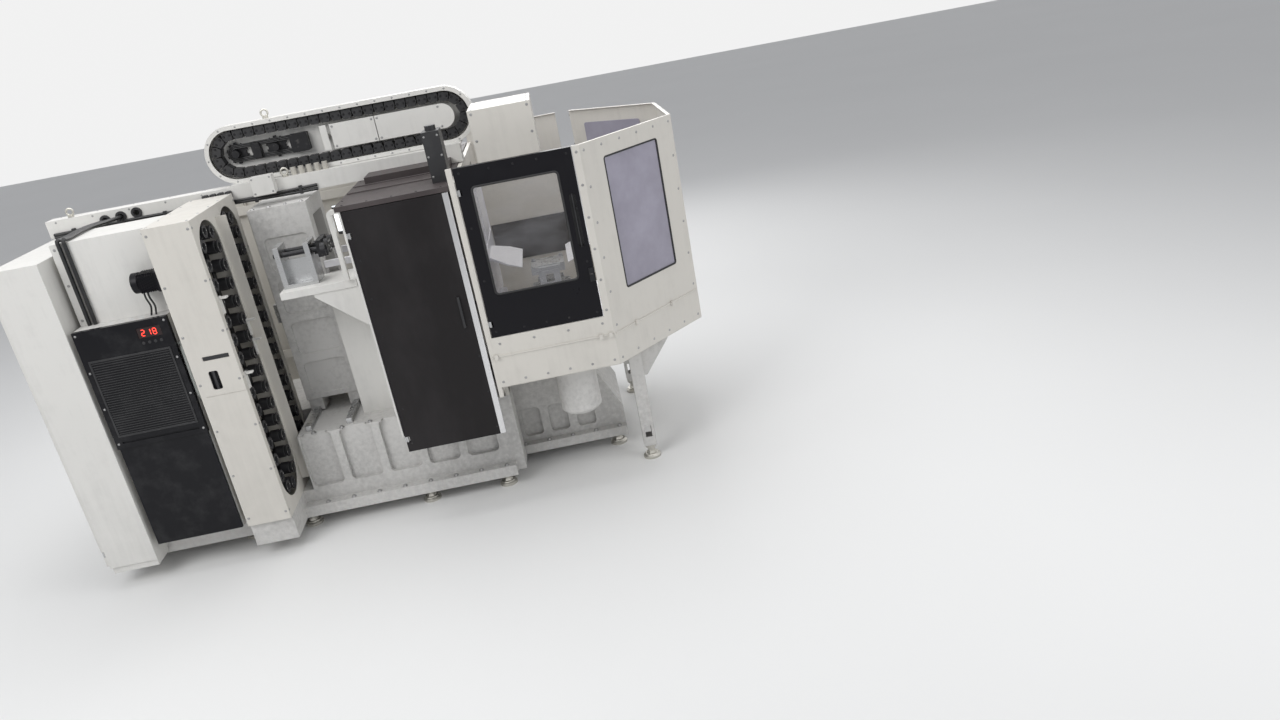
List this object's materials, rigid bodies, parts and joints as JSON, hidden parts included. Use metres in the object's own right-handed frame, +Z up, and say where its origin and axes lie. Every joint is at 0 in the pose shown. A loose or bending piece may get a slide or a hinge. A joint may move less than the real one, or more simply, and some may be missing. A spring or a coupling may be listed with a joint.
{
  "type": "horizontal machining centre",
  "caption": "Horizontal machining centre with a loading enclosure, swinging pallet changer, portal column and ram spindle, arched tool magazine, upper chain loop, chiller and electrical cabinet",
  "frame": {"origin": "middle of the machine's length and width, on the floor under the levelling feet", "axes": "+X along the machine to the loading end, +Y across it to the far side, +Z up"},
  "size_m": [3.76, 1.814, 2.473],
  "materials": {
    "ivory_paint": "satin powder coat, light warm grey",
    "white_paint": "satin powder coat, off-white",
    "bright_sheet": "bright sheet, lightly brushed",
    "casting_paint": "painted casting, light grey",
    "dark_roof": "satin, dark grey-brown",
    "charcoal_paint": "textured charcoal",
    "black_paint": "satin near-black",
    "black_steel": "oiled black steel",
    "black_plastic": "matte black",
    "gloss_black": "gloss black",
    "ground_steel": "ground steel",
    "zinc_steel": "zinc plated",
    "aluminium": "bright anodised",
    "door_glass": "tinted pane",
    "frosted_glass": "frosted pane with a lilac film",
    "lamp_glass": "lit tube",
    "hose_rubber": "black hose",
    "clear_hose": "milky clear hose"
  },
  "bodies": {
    "frame": {"bed": "casting_paint", "levelling_feet": "zinc_steel", "cross_rails": "ground_steel", "changer_base": "casting_paint", "support_posts": "casting_paint", "chamber_wall": "white_paint", "partition": "ivory_paint", "roof_cover": "dark_roof", "far_cover": "ivory_paint", "loading_enclosure": "ivory_paint", "corner_windows": "frosted_glass", "loading_tray": "bright_sheet", "sill_rail": "ivory_paint", "top_housing": "ivory_paint", "cable_riser": "black_plastic", "hinge_pins": "ground_steel", "magazine_housing": "ivory_paint", "front_tool_chain": "black_steel", "back_tool_chain": "black_steel", "tool_pots": "black_plastic", "sprockets": "black_steel", "magazine_motor": "black_paint", "upper_loop_plate": "white_paint", "upper_chain": "black_plastic", "upper_loop_covers": "white_paint", "lifting_eyes": "zinc_steel", "cable_duct": "white_paint", "duct_fittings": "black_plastic", "electrical_cabinet": "white_paint", "chiller": "casting_paint", "chiller_front": "gloss_black", "service_panel": "white_paint", "black_hoses": "hose_rubber", "chiller_hose": "clear_hose", "tool_shelf": "white_paint", "work_lamp": "lamp_glass", "guard_tube": "white_paint", "arm_bracket": "ground_steel", "table_base": "casting_paint"},
    "loading_door": {"loading_door": "black_paint", "door_window": "door_glass", "door_handle": "black_plastic"},
    "side_door": {"side_door": "charcoal_paint", "edge_profile": "aluminium"},
    "cabinet_door": {"cabinet_door": "white_paint"},
    "changer_lift": {"lift_tube": "ground_steel"},
    "changer_turn": {"fork_arm": "casting_paint", "divider": "bright_sheet", "pallets": "ground_steel", "work_fixture": "ground_steel"},
    "table_turn": {"rotary_table": "ground_steel"},
    "column_cross": {"column": "casting_paint", "head_rails": "ground_steel", "cross_cover": "bright_sheet"},
    "head_lift": {"head_carrier": "casting_paint", "head_cover": "bright_sheet"},
    "ram_feed": {"ram": "ground_steel"},
    "spindle_spin": {"spindle": "ground_steel"},
    "arm_reach": {"arm_carriage": "black_steel"},
    "arm_swing": {"change_arm": "black_steel"}
  },
  "joints": [
    {"name": "loading_door_hinge", "type": "hinge", "parent": "frame", "child": "loading_door", "pos_m": [0.634, -0.882, 1.5], "axis": [0, 0, -1], "range_deg": [0, 100]},
    {"name": "side_door_hinge", "type": "hinge", "parent": "frame", "child": "side_door", "pos_m": [0.015, -0.88, 1.2], "axis": [0, 0, -1], "range_deg": [0, 95]},
    {"name": "cabinet_door_hinge", "type": "hinge", "parent": "frame", "child": "cabinet_door", "pos_m": [-1.872, -0.862, 1], "axis": [0, 0, 1], "range_deg": [0, 110]},
    {"name": "changer_lift_slide", "type": "slide", "parent": "frame", "child": "changer_lift", "axis": [0, 0, 1], "range_m": [0, 0.04]},
    {"name": "changer_turn_hinge", "type": "hinge", "parent": "changer_lift", "child": "changer_turn", "pos_m": [0.635, 0, 1], "axis": [0, 0, 1], "range_deg": [0, 180]},
    {"name": "table_turn_hinge", "type": "hinge", "parent": "frame", "child": "table_turn", "pos_m": [0.28, 0, 0.95], "axis": [0, 0, 1], "continuous": true},
    {"name": "column_cross_slide", "type": "slide", "parent": "frame", "child": "column_cross", "axis": [0, 1, 0], "range_m": [-0.15, 0.15]},
    {"name": "head_lift_slide", "type": "slide", "parent": "column_cross", "child": "head_lift", "axis": [0, 0, 1], "range_m": [-0.08, 0.185]},
    {"name": "ram_feed_slide", "type": "slide", "parent": "head_lift", "child": "ram_feed", "axis": [1, 0, 0], "range_m": [0, 0.305]},
    {"name": "spindle_turn", "type": "hinge", "parent": "ram_feed", "child": "spindle_spin", "pos_m": [-0.1, 0, 1.25], "axis": [1, 0, 0], "continuous": true},
    {"name": "arm_reach_slide", "type": "slide", "parent": "frame", "child": "arm_reach", "axis": [1, 0, 0], "range_m": [0, 0.07]},
    {"name": "arm_swing_hinge", "type": "hinge", "parent": "arm_reach", "child": "arm_swing", "pos_m": [-0.2, -0.53, 1.71], "axis": [1, 0, 0], "range_deg": [0, 180]}
  ]
}
